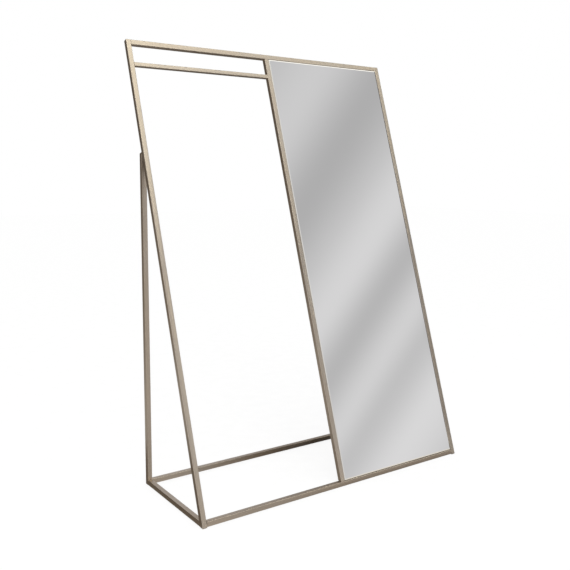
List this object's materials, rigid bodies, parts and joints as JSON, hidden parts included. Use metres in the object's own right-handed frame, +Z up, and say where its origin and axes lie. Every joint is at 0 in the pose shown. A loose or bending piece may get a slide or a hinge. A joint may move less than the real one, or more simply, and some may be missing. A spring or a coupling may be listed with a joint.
{
  "type": "leaning floor mirror",
  "caption": "Full-height floor mirror in a leaning square-tube metal frame, with an open clothes bay and hanging rail beside the glass, on a rigid box-shaped stand.",
  "frame": {"origin": "on the floor, below the middle of the object's box", "axes": "+X to the right as seen from the front, towards the mirror; +Y to the rear, the way the frame leans; +Z up"},
  "size_m": [1.325, 0.6148, 1.8034],
  "materials": {
    "champagne_metal": "steel tube, champagne-bronze tone, brushed along its length",
    "mirror": "silvered float glass with a narrow polished bevel",
    "backing_board": "plain dark fibreboard",
    "foam_tape": "double-sided foam tape",
    "black_plastic": "moulded, fine matte texture",
    "zinc_screw": "zinc plated"
  },
  "bodies": {
    "root": {"left_stile": "champagne_metal", "centre_stile": "champagne_metal", "right_stile": "champagne_metal", "left_stile_cap": "champagne_metal", "right_stile_cap": "champagne_metal", "top_rail": "champagne_metal", "hanging_rail": "champagne_metal", "front_floor_rail": "champagne_metal", "rear_floor_rail": "champagne_metal", "left_floor_rail": "champagne_metal", "right_floor_rail": "champagne_metal", "left_post": "champagne_metal", "right_post": "champagne_metal", "left_post_cap": "champagne_metal", "right_post_cap": "champagne_metal", "left_stile_glide": "black_plastic", "right_stile_glide": "black_plastic", "left_post_glide": "black_plastic", "right_post_glide": "black_plastic", "mirror_glass": "mirror", "mirror_tape_1": "foam_tape", "mirror_tape_2": "foam_tape", "mirror_tape_3": "foam_tape", "mirror_tape_4": "foam_tape", "backing_board": "backing_board", "fixing_tab_left_1": "champagne_metal", "fixing_tab_left_2": "champagne_metal", "fixing_tab_left_3": "champagne_metal", "fixing_tab_right_1": "champagne_metal", "fixing_tab_right_2": "champagne_metal", "fixing_tab_right_3": "champagne_metal", "fixing_screw_left_1": "zinc_screw", "fixing_screw_left_2": "zinc_screw", "fixing_screw_left_3": "zinc_screw", "fixing_screw_right_1": "zinc_screw", "fixing_screw_right_2": "zinc_screw", "fixing_screw_right_3": "zinc_screw"}
  },
  "joints": []
}
